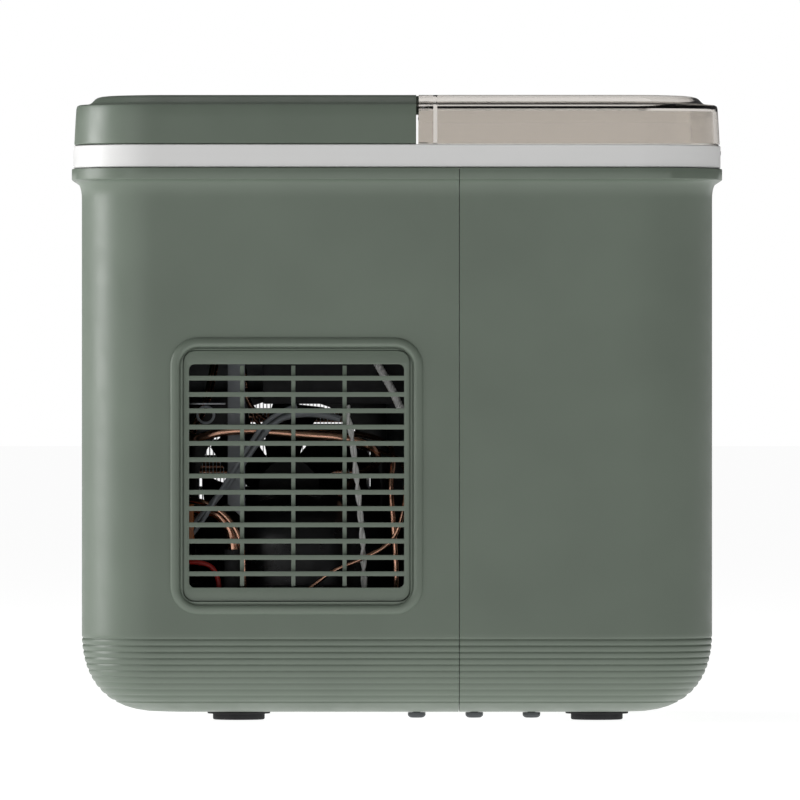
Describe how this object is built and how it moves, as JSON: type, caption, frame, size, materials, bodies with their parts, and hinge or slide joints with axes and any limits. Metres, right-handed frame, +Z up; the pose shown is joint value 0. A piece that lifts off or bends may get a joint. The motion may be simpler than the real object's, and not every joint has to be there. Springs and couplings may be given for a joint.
{
  "type": "countertop ice maker",
  "caption": "Countertop compressor ice maker: box-shaped case, louvred side vents, hinged smoked lid over an ice bin, working fan, tilting water tray, ice rake, drain plug and keys.",
  "frame": {"origin": "centre of the foot plane, midway along the case's length and width", "axes": "+X towards the front with the clear lid, +Y towards the left side, +Z up"},
  "size_m": [0.3012, 0.226, 0.288],
  "materials": {
    "sage": "fine satin grain",
    "white_plastic": "satin",
    "smoked_clear": "transparent, polished",
    "dark_trim": "satin",
    "black_plastic": "matte",
    "grey_plastic": "satin",
    "black_rubber": "matte",
    "black_paint": "semi-gloss",
    "steel": "bare",
    "fin_aluminium": "bare",
    "copper": "bare tube",
    "circuit_board": "satin"
  },
  "bodies": {
    "case": {"rear_housing": "sage", "front_housing": "sage", "vent_grille_right": "sage", "vent_grille_left": "sage", "rear_cover": "sage", "top_frame": "white_plastic", "tank": "white_plastic", "tank_sump": "white_plastic", "lead_pair": "white_plastic", "front_badge": "dark_trim", "base_screw_1": "dark_trim", "base_screw_2": "dark_trim", "base_screw_3": "dark_trim", "base_screw_4": "dark_trim", "base_screw_5": "dark_trim", "base_screw_6": "dark_trim", "control_panel": "black_plastic", "tray_motor": "black_plastic", "terminal_cover": "black_plastic", "fan_frame": "black_plastic", "water_pump": "black_plastic", "power_inlet": "black_plastic", "evaporator_holder": "grey_plastic", "pump_hose": "grey_plastic", "drain_hose": "grey_plastic", "drain_fitting": "grey_plastic", "fan_lead": "grey_plastic", "foot_1": "black_rubber", "foot_2": "black_rubber", "foot_3": "black_rubber", "foot_4": "black_rubber", "tank_insulation": "black_rubber", "compressor": "black_paint", "base_plate": "steel", "hinge_pin_right": "steel", "hinge_pin_left": "steel", "evaporator": "steel", "compressor_bracket": "steel", "fan_bracket": "steel", "hanger_strip": "steel", "inlet_pins": "steel", "condenser_fins": "fin_aluminium", "condenser_coil": "copper", "filter_drier": "copper", "discharge_pipe": "copper", "suction_pipe": "copper", "bypass_pipe": "copper", "liquid_pipe": "copper", "capillary_tube": "copper", "button_board": "circuit_board", "control_board": "circuit_board"},
    "lid": {"front_lid": "smoked_clear"},
    "power_key": {"power_button": "grey_plastic"},
    "size_key": {"size_button": "grey_plastic"},
    "fan": {"fan_rotor": "black_plastic"},
    "tray": {"water_tray": "white_plastic"},
    "rake": {"ice_rake": "white_plastic"},
    "basket": {"ice_basket": "grey_plastic"},
    "scoop": {"ice_scoop": "grey_plastic"},
    "plug": {"drain_plug": "black_rubber"}
  },
  "joints": [
    {"name": "lid_hinge", "type": "hinge", "parent": "case", "child": "lid", "pos_m": [0.0122, 0, 0.2856], "axis": [0, -1, 0], "range_deg": [0, 100]},
    {"name": "power_press", "type": "slide", "parent": "case", "child": "power_key", "axis": [0, 0, -1], "range_m": [0, 0.0008], "stiffness_N_per_m": 1000, "springref_m": -0.001},
    {"name": "size_press", "type": "slide", "parent": "case", "child": "size_key", "axis": [0, 0, -1], "range_m": [0, 0.0008], "stiffness_N_per_m": 1000, "springref_m": -0.001},
    {"name": "fan_spin", "type": "hinge", "parent": "case", "child": "fan", "pos_m": [-0.051, 0.0565, 0.1053], "axis": [0, 1, 0], "continuous": true},
    {"name": "tray_tilt", "type": "hinge", "parent": "case", "child": "tray", "pos_m": [-0.022, 0, 0.232], "axis": [0, -1, 0], "range_deg": [0, 60]},
    {"name": "rake_swing", "type": "hinge", "parent": "case", "child": "rake", "pos_m": [0.003, 0, 0.238], "axis": [0, -1, 0], "range_deg": [0, 45]},
    {"name": "basket_lift", "type": "slide", "parent": "case", "child": "basket", "axis": [0, 0, 1], "range_m": [0, 0.03]},
    {"name": "scoop_lift", "type": "slide", "parent": "basket", "child": "scoop", "axis": [0, 0, 1], "range_m": [0, 0.02]},
    {"name": "plug_pull", "type": "slide", "parent": "case", "child": "plug", "axis": [-1, 0, 0], "range_m": [0, 0.012]}
  ],
  "couplings": [
    {"joint": "rake_swing", "follows": "tray_tilt", "ratio": 0.75}
  ]
}
